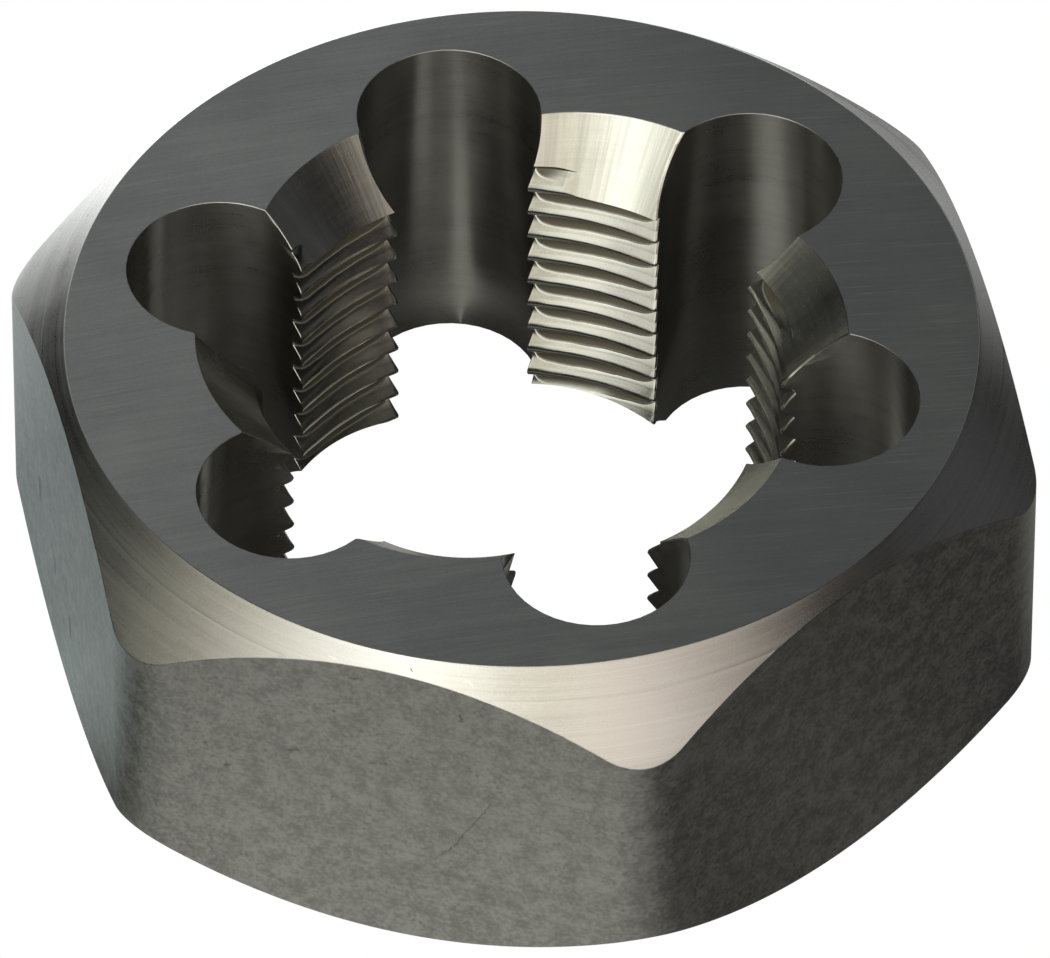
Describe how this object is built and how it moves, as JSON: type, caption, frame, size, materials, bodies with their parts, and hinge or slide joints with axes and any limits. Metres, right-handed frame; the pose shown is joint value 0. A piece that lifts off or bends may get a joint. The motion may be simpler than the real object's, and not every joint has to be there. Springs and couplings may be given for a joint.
{
  "type": "rethreading die",
  "caption": "Hexagon rethreading die of hardened steel, with a fluted threaded bore and conical chamfers on both faces, turned with a wrench to clean up a damaged bolt thread.",
  "frame": {"origin": "centre of the bottom face, on the thread axis", "axes": "+Z along the thread axis towards the top face, +Y towards a corner of the hexagon, +X square to a pair of wrench flats"},
  "size_m": [0.0604, 0.0682, 0.0254],
  "materials": {
    "die_steel": "dark tempered tool steel, ground faces, turned chamfers"
  },
  "bodies": {
    "root": {"die_body": "die_steel"}
  },
  "joints": []
}
